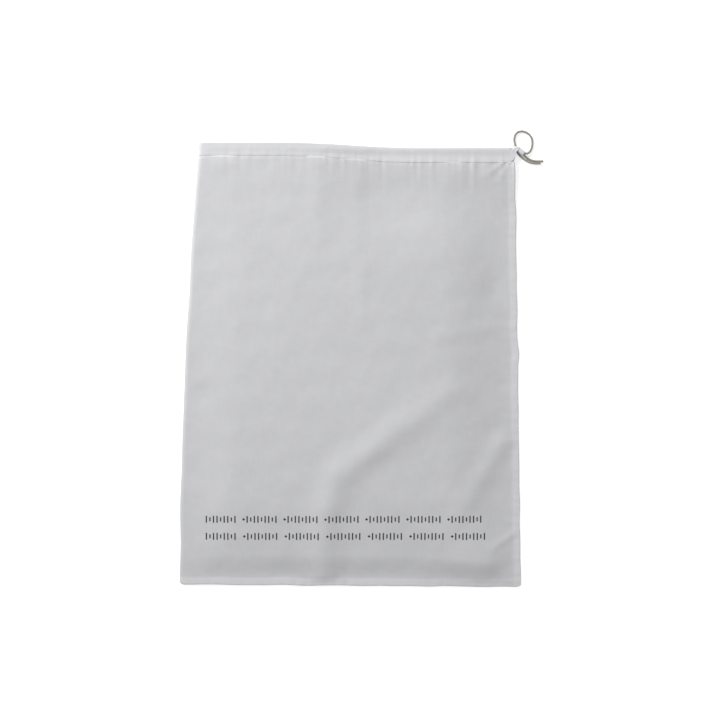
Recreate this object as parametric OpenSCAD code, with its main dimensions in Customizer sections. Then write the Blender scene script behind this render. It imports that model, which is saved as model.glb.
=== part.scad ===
// Drawcord laundry bag, lying flat on its back panel with the mouth towards +Y.
// One cloth is folded at the left edge, sewn at the right and bottom edges and hemmed
// at the mouth. The cord runs round the mouth inside the hem and leaves it at the
// top right corner, through a sleeve and a hitch.

/* [Bag] */
// Width across the base
bag_w = 400; // [360:10:440]
// Height from the bottom seam to the top of the hem
bag_h = 520; // [480:10:560]
// How far the folded edge leans inwards at the mouth
fold_lean = 23; // [10:1:30]
// How far the sewn edge leans inwards at the mouth
seam_lean = 7; // [4:1:10]
// How much higher the left end of the base sits than the right end
base_rise = 3; // [0:1:6]
// Thickness of one ply of cloth
cloth_t = 0.5; // [0.4:0.05:0.6]
// Height of the lofted front above the floor
loft_z = 10.1; // [9.6:0.1:11]
// Width of the seam allowances inside the sewn edges
allowance_w = 8; // [6:1:10]

/* [Hem] */
// Height of the hem at the folded edge
hem_h_fold = 16; // [15:0.5:18]
// Height of the hem at the sewn edge
hem_h_seam = 18; // [17:0.5:19]
// Drop of the mouth's edge from the folded to the sewn side
hem_drop = 5.5; // [4:0.5:6]

/* [Cord] */
// Diameter of the drawcord
cord_d = 2.5; // [2:0.1:2.5]
// Height above the base line at which the front run lies
front_cord_y = 252; // [251.5:0.5:252.5]
// Height above the base line at which the back run lies
back_cord_y = 249; // [248.5:0.5:249.5]
// Outside diameter of the sleeve that holds both strands
sleeve_d = 6; // [5.8:0.1:6.4]

/* [Print] */
// Height of the bars in the two printed rows
bar_h = 8; // [6:0.5:9]
// Width of one printed bar
bar_w = 1.5; // [1:0.1:2]
// Distance from one printed bar to the next
bar_pitch = 4.2; // [3.6:0.1:5]
// Number of bars between two lozenges
bars_per_group = 9; // [6:1:12]

/* [Hidden] */

cloth_color = "whitesmoke";
lining_color = "gainsboro";
thread_color = "white";
cord_color = "darkkhaki";

// Hem tube: two plies with the cord and a little air between them
hem_air = 0.4;
hem_t = cord_d + 2 * cloth_t + hem_air;
front_base_z = loft_z - 2 * cloth_t;
mouth_base_z = hem_t + 0.1;
seam_top_z = 4 * cloth_t;
mouth_top_z = mouth_base_z + 2 * cloth_t;
fold_r = (front_base_z + hem_t) / 2;
fold_x_mouth = -bag_w / 2 + fold_lean;
elbow_x = fold_x_mouth + fold_r;
outlet_x = bag_w / 2 - seam_lean - 13;

// Threads, and the room for them at the sewn edges
thread_w = 0.6;
thread_h = 0.3;
thread_gap = 1.4;
thread_lift = 0.2;
hem_gap = 0.3;

// Lengths over which the front rises from its edges
round_w = 5;
fold_ramp_w = 60;
seam_ramp_w = 80;
base_ramp_w = 100;
mouth_ramp_w = 60;
// The mouth stands open at the fold's side and closes towards the cord's corner
mouth_close_from = -40;
mouth_close_to = 46;
mouth_close_depth = 120;

// The cord's two strands. Their runs lie inside the hem; from there the points lead
// through the outlet and the sleeve, and on round the loop or along the tail.
back_cord_z = hem_t / 2;
front_run_end_x = 179;
back_run_end_x = 172;
front_route = [
  [front_run_end_x, front_cord_y, mouth_base_z + hem_t / 2],
  [185.5, 251.9, 5.9], [190, 252.6, 5.8], [194.3, 253.8, 5.2], [198, 253.5, 4.5], [201, 251, 4],
  [203.9, 248.6, 3.5], [206.2, 247.9, 2.9], [208.5, 248.6, 2.2], [210.4, 250.4, 1.6],
  [211.9, 253, 1.3], [213.1, 256.8, 1.25], [213.4, 261, 1.25], [212.6, 265.8, 1.25],
  [210.2, 269.9, 1.25], [206.4, 272.8, 1.25], [201.5, 274.2, 1.25], [196.9, 273.4, 1.25],
  [193.6, 270.3, 1.25], [192.2, 265.6, 1.25], [192.6, 260.5, 1.25], [193.8, 256, 1.25],
  [194.8, 252.3, 1.25], [196.3, 249, 1.25], [198.6, 246, 1.25], [201.5, 243.2, 1.25],
  [205, 240.5, 1.25], [209.4, 238.2, 1.25], [214, 236.9, 1.25], [218.5, 236.5, 1.25],
  [223, 236.6, 1.25]
];
back_route = [
  [back_run_end_x, back_cord_y, back_cord_z], [178, 249, 2], [184, 249.3, 2.4],
  [189.6, 250.3, 3.6], [193.6, 251.3, 4.4], [196.2, 251.3, 4.5], [199.3, 249.1, 4], [202.3, 246.6, 3.5],
  [204.4, 244.9, 2.7], [207.2, 242.7, 1.7], [210.6, 240.8, 1.3], [214.5, 239.6, 1.25],
  [219, 239.1, 1.25], [222.5, 239.1, 1.25], [226, 239.2, 1.25]
];
steps = 2;
front_lead_points = 3;
back_lead_points = 4;
sleeve_start = [197.2, 252.5, 4.4];
sleeve_end = [203.1, 247.6, 3.5];

// The two printed rows: left end, right end and middle height of each
printed_spans = [[-169, 166, -180], [-169, 171, -200]];

// ---- helpers ----
function clamp01(t) = max(0, min(1, t));
function ease(t) = let (c = clamp01(t)) c * c * (3 - 2 * c);
function mix(a, b, t) = a + (b - a) * t;
function upness(y) = clamp01((y + bag_h / 2) / bag_h);

// The bag's outline, seen from above
function fold_x(y) = -bag_w / 2 + fold_lean * pow(upness(y), 1.8);
function seam_x(y) = bag_w / 2 - seam_lean * upness(y);
function base_y(x) = -bag_h / 2 + base_rise * (0.5 - x / bag_w);
function top_y(x) = bag_h / 2 - hem_drop * ease((x + 80) / 160);
function hem_height(x) = mix(hem_h_fold, hem_h_seam, ease((x + 80) / 160));
function hem_y(x) = top_y(x) - hem_height(x);

// Height of the front's upper face. It is low at the sewn edges, full over most of the
// bag, and low again where the mouth closes towards the cord's corner.
function edge_z(from_hem) = mix(mouth_top_z, seam_top_z, ease(from_hem / mouth_ramp_w));
function openness(x, from_hem) =
  1 - ease((x - mouth_close_from) / (mouth_close_to - mouth_close_from))
  * (1 - ease(from_hem / mouth_close_depth));
function crown(x, from_seam, from_base, from_hem) =
  (loft_z - edge_z(from_hem)) * openness(x, from_hem)
  * ease((from_seam - allowance_w) / seam_ramp_w)
  * ease((from_base - allowance_w) / base_ramp_w);
function fold_share(from_fold, from_hem) =
  let (low = mix(1, 0.2, clamp01(from_hem / bag_h)))
  mix(low, 1, ease((from_fold - round_w) / fold_ramp_w));
function fold_round(from_fold) =
  let (t = 1 - clamp01(from_fold / round_w)) sqrt(1 - t * t);
function front_z(x, y) =
  let (
    from_fold = x - fold_x(y), from_seam = seam_x(y) - x,
    from_base = y - base_y(x), from_hem = hem_y(x) - y
  )
  cloth_t + fold_round(from_fold) * (
    edge_z(from_hem) - cloth_t
    + crown(x, from_seam, from_base, from_hem) * fold_share(from_fold, from_hem)
  );

// Stations across and along the front: distances from the near edge, then shares of the
// width or height, then distances from the far edge
fold_steps = [0, 0.3, 1, 2.4, round_w, 20, 35, 50, 65];
seam_steps = [88, 68, 48, 28, 8, 0];
base_steps = [0, 8, 28, 48, 68, 88, 108];
hem_steps = [120, 100, 80, 60, 40, 20, hem_gap];
across_shares = [0.32, 0.36, 0.4, 0.44, 0.48, 0.52, 0.56, 0.6, 0.66];
along_shares = [0.3, 0.45, 0.6];
function column_x(y) = concat(
  [for (s = fold_steps) fold_x(y) + s],
  [for (s = across_shares) mix(fold_x(y), seam_x(y), s)],
  [for (s = seam_steps) seam_x(y) - s]
);
function row_y(x) = concat(
  [for (s = base_steps) base_y(x) + s],
  [for (s = along_shares) mix(base_y(x), hem_y(x), s)],
  [for (s = hem_steps) hem_y(x) - s]
);
columns = len(fold_steps) + len(across_shares) + len(seam_steps);
rows = len(base_steps) + len(along_shares) + len(hem_steps);

// A point of the front's upper face (ply 0) or lower face (ply 1)
function front_point(i, j, ply) =
  let (
    x0 = column_x(row_y(0)[j])[i],
    y = row_y(x0)[j],
    x = column_x(y)[i],
    shift = i < len(fold_steps) ? cloth_t * ply : 0,
    z = front_z(x, y)
  )
  [x + shift, y, max(cloth_t, z - cloth_t * ply)];

// A grid of points as one closed sheet with an upper and a lower face
module two_faced_sheet(upper, lower) {
  nj = len(upper);
  ni = len(upper[0]);
  count = ni * nj;
  points = concat([for (row = upper) for (p = row) p], [for (row = lower) for (p = row) p]);
  up = [
    for (j = [0:nj - 2]) for (i = [0:ni - 2]) for (half = [0, 1])
      let (a = j * ni + i, b = a + 1, c = a + ni, d = c + 1)
      half == 0 ? [a, d, b] : [a, c, d]
  ];
  down = [for (f = up) [f[2] + count, f[1] + count, f[0] + count]];
  rim = concat(
    [for (i = [0:ni - 2]) [i, i + 1]],
    [for (j = [0:nj - 2]) [j * ni + ni - 1, (j + 1) * ni + ni - 1]],
    [for (i = [ni - 1:-1:1]) [(nj - 1) * ni + i, (nj - 1) * ni + i - 1]],
    [for (j = [nj - 1:-1:1]) [j * ni, (j - 1) * ni]]
  );
  sides = [
    for (e = rim) for (half = [0, 1])
      half == 0 ? [e[0], e[1], e[1] + count] : [e[0], e[1] + count, e[0] + count]
  ];
  polyhedron(points = points, faces = concat(up, down, sides), convexity = 6);
}

// A tube between an outer and an inner list of rings, open at both ends
module hollow_loft(outer, inner) {
  n = len(outer[0]);
  m = len(outer);
  count = n * m;
  points = concat([for (r = outer) for (p = r) p], [for (r = inner) for (p = r) p]);
  skin = [
    for (k = [0:m - 2]) for (i = [0:n - 1]) for (half = [0, 1])
      let (a = k * n + i, b = k * n + (i + 1) % n, c = a + n, d = b + n)
      half == 0 ? [a, b, d] : [a, d, c]
  ];
  bore = [for (f = skin) [f[2] + count, f[1] + count, f[0] + count]];
  first_end = [
    for (i = [0:n - 1]) for (half = [0, 1])
      let (a = i, b = (i + 1) % n)
      half == 0 ? [a, b + count, b] : [a, a + count, b + count]
  ];
  last = (m - 1) * n;
  last_end = [
    for (i = [0:n - 1]) for (half = [0, 1])
      let (a = last + i, b = last + (i + 1) % n)
      half == 0 ? [a, b, b + count] : [a, b + count, a + count]
  ];
  polyhedron(points = points, faces = concat(skin, bore, first_end, last_end), convexity = 8);
}

// A solid tube swept along part of a path that never turns straight up. Its ends stand
// square to the whole path, so that the tubes of two stretches meet face to face.
module swept_tube(path, from, to, radius, sides) {
  last = to - from;
  function unit(v) = v / norm(v);
  function ahead(k) = unit(path[min(k + 1, len(path) - 1)] - path[max(k - 1, 0)]);
  function side(k) = unit(cross(ahead(k), [0, 0, 1]));
  points = [
    for (k = [from:to]) for (i = [0:sides - 1])
      let (s = side(k), u = cross(s, ahead(k)), a = 360 * i / sides)
      path[k] + radius * (cos(a) * s + sin(a) * u)
  ];
  skin = [
    for (k = [0:last - 1]) for (i = [0:sides - 1]) for (half = [0, 1])
      let (a = k * sides + i, b = k * sides + (i + 1) % sides, c = a + sides, d = b + sides)
      half == 0 ? [a, b, d] : [a, d, c]
  ];
  start_cap = [[for (i = [sides - 1:-1:0]) i]];
  end_cap = [[for (i = [0:sides - 1]) last * sides + i]];
  polyhedron(points = points, faces = concat(skin, start_cap, end_cap), convexity = 10);
}

// A smooth curve through a route's points
function bend(a, b, c, d, t) =
  (2 * b + (c - a) * t + (2 * a - 5 * b + 4 * c - d) * t * t
  + (3 * b - a - 3 * c + d) * t * t * t) / 2;
function smooth_route(r) = [
  for (k = [0:len(r) - 2]) for (s = [0:steps - 1])
    bend(r[max(k - 1, 0)], r[k], r[k + 1], r[min(k + 2, len(r) - 1)], s / steps),
  r[len(r) - 1]
];
front_path = smooth_route(front_route);
back_path = smooth_route(back_route);

// Section of the hem tube: distance above the stitch line, distance from its base face
function hem_section(h) = [
  [0, 0], [h - 2, 0], [h - 0.6, 0.6], [h, hem_t / 2], [h - 0.6, hem_t - 0.6],
  [h - 2, hem_t], [3, hem_t], [1.2, hem_t - 1.3], [0, 2 * cloth_t]
];
function hem_bore(h) = [
  [0.9, cloth_t], [h - 2.2, cloth_t], [h - 1, cloth_t + 0.4], [h - cloth_t, hem_t / 2],
  [h - 1, hem_t - cloth_t - 0.4], [h - 2.2, hem_t - cloth_t], [3.3, hem_t - cloth_t],
  [1.9, hem_t - cloth_t - 0.9], [0.9, 2 * cloth_t - 0.05]
];
function hem_ring(x, base_z, section) = [for (q = section) [x, hem_y(x) + q[0], base_z + q[1]]];

// The fold's end of the hem turns half round about a line along Y. Its sections give the
// distance above the stitch line and the distance from the tube's inner side; the stitched
// edge moves from the inner side at the front (share 0) to the outer side at the back.
function elbow_section(h, share) = [
  [0, mix(0, hem_t - 2 * cloth_t, share)], [1.2, mix(0, 1.3, share)], [3, 0],
  [h - 2, 0], [h - 0.6, 0.6], [h, hem_t / 2], [h - 0.6, hem_t - 0.6], [h - 2, hem_t],
  [3, hem_t], [1.2, mix(hem_t - 1.3, hem_t, share)], [0, mix(2 * cloth_t, hem_t, share)]
];
function elbow_bore(h, share) =
  let (thin = 2 * cloth_t - 0.05, low = cloth_t, high = hem_t - 0.7 * cloth_t)
  [
    [0.9, mix(low, hem_t - thin, share)], [1.9, mix(low, low + 0.9, share)], [3.3, low],
    [h - 2.2, low], [h - 1, low + 0.4], [h - cloth_t, hem_t / 2], [h - 1, high - 0.4],
    [h - 2.2, high], [3.3, high], [1.9, mix(high - 0.9, high, share)],
    [0.9, mix(thin, high, share)]
  ];
function elbow_ring(turn, section) =
  let (y0 = hem_y(elbow_x), inner_r = fold_r - hem_t)
  [
    for (q = section)
      [elbow_x - (inner_r + q[1]) * sin(turn), y0 + q[0], fold_r + (inner_r + q[1]) * cos(turn)]
  ];

// Base of the front hem: it follows the front's upper edge
function front_hem_base(x) =
  mouth_base_z + (loft_z - mouth_top_z) * openness(x, 0)
  * ease((seam_x(hem_y(x)) - x - allowance_w) / seam_ramp_w);
hem_stations = [for (k = [0:28]) mix(elbow_x, outlet_x, k / 28)];

// The outlet: centre, half width, half height and turn of each ring of the pinched corner
outlet_rings = [
  [[outlet_x, 245.6, 3.95], 9, 3.95, 90],
  [[188, 245.6, 3.95], 9, 3.95, 90],
  [[190.6, 246.8, 4.8], 8.3, 3.6, 86],
  [[192.6, 248.8, 5.4], 7, 2.8, 74],
  [[194.5, 251.3, 5.3], 5.4, 2.7, 60],
  [[196.1, 252.7, 5.2], 4.5, 2.6, 50]
];
squareness = 0.3;
function oval(ring, shrink) = [
  for (k = [0:15])
    let (
      a = -360 * k / 16,
      w = (ring[1] - shrink) * sign(cos(a)) * pow(abs(cos(a)), squareness),
      h = (ring[2] - shrink) * sign(sin(a)) * pow(abs(sin(a)), squareness)
    )
    ring[0] + [w * cos(ring[3]), w * sin(ring[3]), h]
];

// ---- cloth ----
module back_panel() {
  left = [for (k = [0:14]) let (y = mix(base_y(-bag_w / 2), hem_y(-180), k / 14)) [fold_x(y), y]];
  top = [for (k = [1:19]) let (x = mix(-178.5, 193, k / 20)) [x, hem_y(x)]];
  right = [[seam_x(hem_y(190)), hem_y(190)], [bag_w / 2, base_y(bag_w / 2)]];
  color(cloth_color) linear_extrude(cloth_t) polygon(concat(left, top, right));
}

module front_panel() {
  upper = [for (j = [0:rows - 1]) [for (i = [0:columns - 1]) front_point(i, j, 0)]];
  lower = [for (j = [0:rows - 1]) [for (i = [0:columns - 1]) front_point(i, j, 1)]];
  color(cloth_color) two_faced_sheet(upper, lower);
}

module side_seam_allowance() {
  low = base_y(bag_w / 2) + allowance_w;
  high = hem_y(190) - 4;
  color(lining_color) translate([0, 0, cloth_t]) linear_extrude(2 * cloth_t)
    polygon([
      [seam_x(low) - allowance_w, low], [seam_x(low) - thread_gap, low],
      [seam_x(high) - thread_gap, high], [seam_x(high) - allowance_w, high]
    ]);
}

module bottom_seam_allowance() {
  left = -bag_w / 2 + round_w;
  right = bag_w / 2 - 0.2;
  color(lining_color) translate([0, 0, cloth_t]) linear_extrude(2 * cloth_t)
    polygon([
      [left, base_y(left) + thread_gap], [right, base_y(right) + thread_gap],
      [right, base_y(right) + allowance_w], [left, base_y(left) + allowance_w]
    ]);
}

module front_hem() {
  outer = [for (x = hem_stations) hem_ring(x, front_hem_base(x), hem_section(hem_height(x)))];
  inner = [for (x = hem_stations) hem_ring(x, front_hem_base(x), hem_bore(hem_height(x)))];
  color(cloth_color) hollow_loft(outer, inner);
}

module back_hem() {
  outer = [for (x = hem_stations) hem_ring(x, 0, hem_section(hem_height(x)))];
  inner = [for (x = hem_stations) hem_ring(x, 0, hem_bore(hem_height(x)))];
  color(cloth_color) hollow_loft(outer, inner);
}

module hem_fold_end() {
  turns = [for (k = [18:-1:0]) 10 * k];
  h = hem_height(elbow_x);
  color(cloth_color) hollow_loft(
    [for (t = turns) elbow_ring(t, elbow_section(h, t / 180))],
    [for (t = turns) elbow_ring(t, elbow_bore(h, t / 180))]
  );
}

module cord_outlet() {
  color(cloth_color) hollow_loft(
    [for (r = outlet_rings) oval(r, 0)],
    [for (r = outlet_rings) oval(r, cloth_t)]
  );
}

// ---- threads and print ----
stitch_drop = 1.6;
module front_hem_stitching() {
  function ridge(x, h) = [
    for (up = [0, thread_w])
      [x, hem_y(x) - stitch_drop + up, front_hem_base(x) + 2 * cloth_t + thread_lift + h]
  ];
  color(thread_color) two_faced_sheet(
    [for (k = [0, 1]) [for (x = hem_stations) ridge(x, thread_h)[k]]],
    [for (k = [0, 1]) [for (x = hem_stations) ridge(x, 0)[k]]]
  );
}

module back_hem_stitching() {
  color(thread_color) translate([0, 0, cloth_t]) linear_extrude(thread_h)
    polygon(concat(
      [for (x = hem_stations) [x, hem_y(x) - stitch_drop]],
      [
        for (k = [len(hem_stations) - 1:-1:0])
          [hem_stations[k], hem_y(hem_stations[k]) - stitch_drop + thread_w]
      ]
    ));
}

module side_seam_stitching() {
  low = base_y(bag_w / 2) + allowance_w + 1;
  high = hem_y(190) - 6;
  color(thread_color) translate([0, 0, cloth_t]) linear_extrude(thread_h)
    polygon([
      [seam_x(low) - 1.2, low], [seam_x(low) - 0.6, low],
      [seam_x(high) - 0.6, high], [seam_x(high) - 1.2, high]
    ]);
}

module bottom_seam_stitching() {
  left = -bag_w / 2 + round_w + 1;
  right = bag_w / 2 - 2;
  color(thread_color) translate([0, 0, cloth_t]) linear_extrude(thread_h)
    polygon([
      [left, base_y(left) + 0.6], [right, base_y(right) + 0.6],
      [right, base_y(right) + 1.2], [left, base_y(left) + 1.2]
    ]);
}

ink_t = 0.1;
ink_gap = 0.2;
slope_reach = 10;
// Lays a flat mark on the front's upper face at (x, y), tilted with its slope
module laid_mark(x, y) {
  low = front_z(x, y - slope_reach);
  high = front_z(x, y + slope_reach);
  translate([x, y, (low + high) / 2 + ink_gap])
    rotate([atan2(high - low, 2 * slope_reach), 0, 0]) linear_extrude(ink_t) children();
}

module printed_rows() {
  group_w = bars_per_group * bar_pitch + 6;
  color("dimgray") for (span = printed_spans) {
    groups = floor((span[1] - span[0]) / group_w);
    step = (span[1] - span[0]) / groups;
    for (g = [0:groups - 1]) {
      start_x = span[0] + g * step;
      for (k = [0:bars_per_group - 1])
        laid_mark(start_x + bar_w / 2 + k * bar_pitch, span[2])
          square([bar_w, bar_h * (k % 3 == 1 ? 0.6 : 1)], center = true);
      if (g < groups - 1)
        laid_mark(start_x + step - 3.4, span[2]) rotate(45) square(2.4, center = true);
    }
  }
}

// ---- drawcord ----
module cord_front_run() {
  path = [
    for (k = [0:24])
      let (x = mix(elbow_x, front_run_end_x, k / 24))
      [x, front_cord_y, front_hem_base(x) + hem_t / 2]
  ];
  color(cord_color) swept_tube(path, 0, len(path) - 1, cord_d / 2, 8);
}

module cord_back_run() {
  color(cord_color) translate([elbow_x, back_cord_y, back_cord_z]) rotate([0, 90, 0])
    cylinder(d = cord_d, h = back_run_end_x - elbow_x, $fn = 24);
}

module cord_far_turn() {
  front_cord_z = front_hem_base(elbow_x) + hem_t / 2;
  across = [0, front_cord_y - back_cord_y, front_cord_z - back_cord_z];
  turn_r = norm(across) / 2;
  w = across / norm(across);
  middle = [
    elbow_x, (front_cord_y + back_cord_y) / 2, (front_cord_z + back_cord_z) / 2
  ];
  color(cord_color) multmatrix([
    [0, -1, 0, middle[0]],
    [w[1], 0, -w[2], middle[1]],
    [w[2], 0, w[1], middle[2]],
    [0, 0, 0, 1]
  ])
    rotate_extrude(angle = 180, $fn = 48) translate([turn_r, 0]) circle(d = cord_d, $fn = 24);
}

module cord_front_lead() {
  color(cord_color)
    swept_tube(front_path, 0, steps * front_lead_points, cord_d / 2, 8);
}

module cord_back_lead() {
  color(cord_color)
    swept_tube(back_path, 0, steps * back_lead_points, cord_d / 2, 8);
}

module cord_loop_strand() {
  color(cord_color)
    swept_tube(front_path, steps * front_lead_points, len(front_path) - 1, cord_d / 2, 8);
}

module cord_tail_strand() {
  color(cord_color)
    swept_tube(back_path, steps * back_lead_points, len(back_path) - 1, cord_d / 2, 8);
}

module cord_sleeve() {
  along = sleeve_end - sleeve_start;
  length = norm(along);
  heading = atan2(along[1], along[0]);
  tilt = acos(along[2] / length);
  offset_y = cord_d / 2 + 0.02;
  bore_r = cord_d / 2 + 0.05;
  color("white") translate(sleeve_start) rotate([0, tilt, heading])
    linear_extrude(length) difference() {
      circle(d = sleeve_d, $fn = 48);
      for (s = [-1, 1]) translate([0, s * offset_y]) circle(r = bore_r, $fn = 32);
      square(2 * offset_y, center = true);
    }
}

back_panel();
front_panel();
side_seam_allowance();
bottom_seam_allowance();
front_hem();
back_hem();
hem_fold_end();
cord_outlet();
front_hem_stitching();
back_hem_stitching();
side_seam_stitching();
bottom_seam_stitching();
printed_rows();
cord_front_run();
cord_back_run();
cord_far_turn();
cord_front_lead();
cord_back_lead();
cord_loop_strand();
cord_tail_strand();
cord_sleeve();
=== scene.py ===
import math

import bpy
import numpy as np
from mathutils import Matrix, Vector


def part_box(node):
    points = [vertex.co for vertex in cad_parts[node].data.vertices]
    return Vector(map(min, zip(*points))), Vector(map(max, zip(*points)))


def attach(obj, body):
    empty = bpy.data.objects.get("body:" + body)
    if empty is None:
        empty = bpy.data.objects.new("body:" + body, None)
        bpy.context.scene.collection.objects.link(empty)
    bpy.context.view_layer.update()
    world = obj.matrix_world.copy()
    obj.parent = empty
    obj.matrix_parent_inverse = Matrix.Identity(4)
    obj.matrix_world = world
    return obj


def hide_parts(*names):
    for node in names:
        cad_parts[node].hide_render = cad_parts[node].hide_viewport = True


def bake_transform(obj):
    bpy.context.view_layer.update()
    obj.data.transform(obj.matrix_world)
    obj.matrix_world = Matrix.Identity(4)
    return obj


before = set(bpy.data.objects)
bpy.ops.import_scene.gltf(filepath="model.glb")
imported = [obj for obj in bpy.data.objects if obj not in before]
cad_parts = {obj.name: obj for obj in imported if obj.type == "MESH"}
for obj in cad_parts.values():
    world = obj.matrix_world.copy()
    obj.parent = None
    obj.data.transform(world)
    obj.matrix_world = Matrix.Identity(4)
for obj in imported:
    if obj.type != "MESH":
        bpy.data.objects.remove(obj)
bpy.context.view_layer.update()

# A cotton laundry bag lying flat, with its mouth towards +Y. One cloth is folded at the
# left edge, sewn at the right and bottom edges and hemmed at the mouth. A drawcord runs
# round inside the hem and leaves it at the top right corner through a white sleeve.
# Lengths are in metres.

# ---- dimensions read from the frame ----
BACK_LOW, BACK_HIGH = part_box("back_panel")
HEM_LOW, HEM_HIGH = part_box("front_hem")
LEFT = BACK_LOW.x
RIGHT = BACK_HIGH.x
BOTTOM = BACK_LOW.y
TOP = HEM_HIGH.y
BAG_W = RIGHT - LEFT
BAG_H = TOP - BOTTOM
FOLD_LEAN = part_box("hem_fold_end")[0].x - LEFT
LOFT_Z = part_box("front_panel")[1].z
HEM_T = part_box("back_hem")[1].z
ELBOW_X = HEM_LOW.x
MOUTH_BASE_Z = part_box("front_hem")[0].z

# ---- the rest of the bag's dimensions ----
OUTLET_X = 0.188
SEAM_LEAN = 0.007
BASE_RISE = 0.003
CLOTH_T = 0.0005
PLY = 0.00045
ALLOWANCE_W = 0.008
HEM_H_FOLD = 0.016
HEM_H_SEAM = 0.018
HEM_DROP = 0.0055
STITCH_DROP = 0.0013
CORD_D = 0.0025
FRONT_CORD_Y = 0.252
BACK_CORD_Y = 0.249
NOSE_W = 0.005
SEAM_ROUND_W = 0.0012
SEAM_TOP_Z = 4 * CLOTH_T
MOUTH_TOP_Z = MOUTH_BASE_Z + 2 * CLOTH_T
CORNER_W = 0.007
# The sewn edge bulges a little: place along Y, height, reach
SEAM_BULGE = (0.013, 0.0017, 0.011)
# The front's mouth is raised, and the ply over the cord lifts further to CORD_LIFT in all
HEM_RAISE = 0.0012
CORD_LIFT = 0.0023
CORD_SINK = 0.0002

# ---- lengths over which the front rises from its edges, and how its mouth closes ----
MOUTH_CLOSE_FROM = -0.040
MOUTH_CLOSE_W = 0.086
MOUTH_CLOSE_DEPTH = 0.120
MOUTH_RAMP_W = 0.060
RAISE_W = 0.035
FOLD_RAMP_W = 0.060
SEAM_RAMP_W = 0.080
BASE_RAMP_W = 0.100
STEEP_BASE_W = 0.028
STEEP_SEAM_W = 0.042

# ---- the drawcord's two strands: the same points as its CAD solids follow ----
FRONT_ROUTE = [
    (0.179, 0.252, 0.00595), (0.1855, 0.2519, 0.0059), (0.190, 0.2526, 0.0058),
    (0.1943, 0.2538, 0.0052), (0.198, 0.2535, 0.0045), (0.201, 0.251, 0.004),
    (0.2039, 0.2486, 0.0035), (0.2062, 0.2479, 0.0029), (0.2085, 0.2486, 0.0022),
    (0.2104, 0.2504, 0.0016), (0.2119, 0.253, 0.0013), (0.2131, 0.2568, 0.00125),
    (0.2134, 0.261, 0.00125), (0.2126, 0.2658, 0.00125), (0.2102, 0.2699, 0.00125),
    (0.2064, 0.2728, 0.00125), (0.2015, 0.2742, 0.00125), (0.1969, 0.2734, 0.00125),
    (0.1936, 0.2703, 0.00125), (0.1922, 0.2656, 0.00125), (0.1926, 0.2605, 0.00125),
    (0.1938, 0.256, 0.00125), (0.1948, 0.2523, 0.00125), (0.1963, 0.249, 0.00125),
    (0.1986, 0.246, 0.00125), (0.2015, 0.2432, 0.00125), (0.205, 0.2405, 0.00125),
    (0.2094, 0.2382, 0.00125), (0.214, 0.2369, 0.00125), (0.2185, 0.2365, 0.00125),
    (0.223, 0.2366, 0.00125),
]
BACK_ROUTE = [
    (0.172, 0.249, 0.00195), (0.178, 0.249, 0.002), (0.184, 0.2493, 0.0024),
    (0.1896, 0.2503, 0.0036), (0.1936, 0.2513, 0.0044), (0.1962, 0.2513, 0.0045),
    (0.1993, 0.2491, 0.004), (0.2023, 0.2466, 0.0035), (0.2044, 0.2449, 0.0027),
    (0.2072, 0.2427, 0.0017), (0.2106, 0.2408, 0.0013), (0.2145, 0.2396, 0.00125),
    (0.219, 0.2391, 0.00125), (0.2225, 0.2391, 0.00125), (0.226, 0.2392, 0.00125),
]
FRONT_LEAD_POINTS = 3
BACK_LEAD_POINTS = 4
SLEEVE_START = (0.1972, 0.2525, 0.0044)
SLEEVE_END = (0.2031, 0.2476, 0.0035)
SLEEVE_R = 0.0028
SLEEVE_BULGE = 0.0002
SLEEVE_LIP = 0.0005
SLEEVE_BORE = (0.00245, 0.00125)

# ---- folds of the lying cloth: crest line, its heights at those points, half width ----
FOLDS = [
    ([(-0.040, 0.245), (-0.038, 0.150)], [0.0009, 0.0004], 0.008),
    ([(0.008, 0.245), (0.006, 0.140)], [0.0009, 0.0004], 0.008),
    ([(0.013, 0.113), (0.013, 0.047)], [0.0005, 0.0004], 0.007),
    ([(-0.023, 0.010), (-0.023, 0.0)], [-0.0006, -0.0006], 0.025),
    ([(0.168, 0.095), (0.168, 0.085)], [-0.0009, -0.0009], 0.009),
    ([(0.167, 0.045), (0.103, 0.033)], [0.0008, 0.0006], 0.007),
    ([(0.195, 0.014), (0.193, 0.010)], [-0.0005, -0.0003], 0.005),
    ([(0.181, -0.023), (0.179, -0.026)], [-0.0004, -0.0003], 0.005),
    ([(0.122, -0.030), (0.046, -0.083), (-0.014, -0.130), (-0.031, -0.181), (-0.030, -0.240)],
     [0.0012, 0.0034, 0.0036, 0.0034, 0.0030], 0.0120),
    ([(0.178, -0.092), (0.128, -0.176)], [0.0022, 0.0010], 0.009),
    ([(0.197, -0.194), (0.168, -0.213)], [0.0011, 0.0006], 0.0035),
    ([(-0.172, -0.031), (-0.170, -0.036)], [-0.0006, -0.0005], 0.007),
    ([(-0.150, 0.235), (-0.120, 0.120)], [0.0005, 0.0002], 0.012),
    ([(0.120, 0.230), (0.090, 0.150)], [0.0005, 0.0002], 0.011),
]
# Creases that the pinched corner pulls into the front: angle, length, height
PINCH_AT = (0.190, 0.247)
PINCH_CREASES = [
    (-100, 0.035, 0.0005), (-114, 0.050, 0.0007), (-128, 0.055, -0.0006),
    (-141, 0.060, 0.0007), (-154, 0.050, -0.0005), (-165, 0.055, 0.0006),
]

# ---- the two printed rows: left end, right end, middle height ----
PRINTED_SPANS = [(-0.169, 0.166, -0.180), (-0.169, 0.171, -0.200)]
BAR_H = 0.008
BAR_W = 0.0015
BAR_PITCH = 0.0042
BARS_PER_GROUP = 9
GROUP_GAP = 0.006
LOZENGE_W = 0.0024
LOZENGE_BACK = 0.0034


# ---- small maths ----
def mix(a, b, t):
    return a + (b - a) * t


def ease(t):
    t = np.clip(t, 0, 1)
    return t * t * (3 - 2 * t)


def bell(t):
    return np.exp(-t * t)


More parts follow.
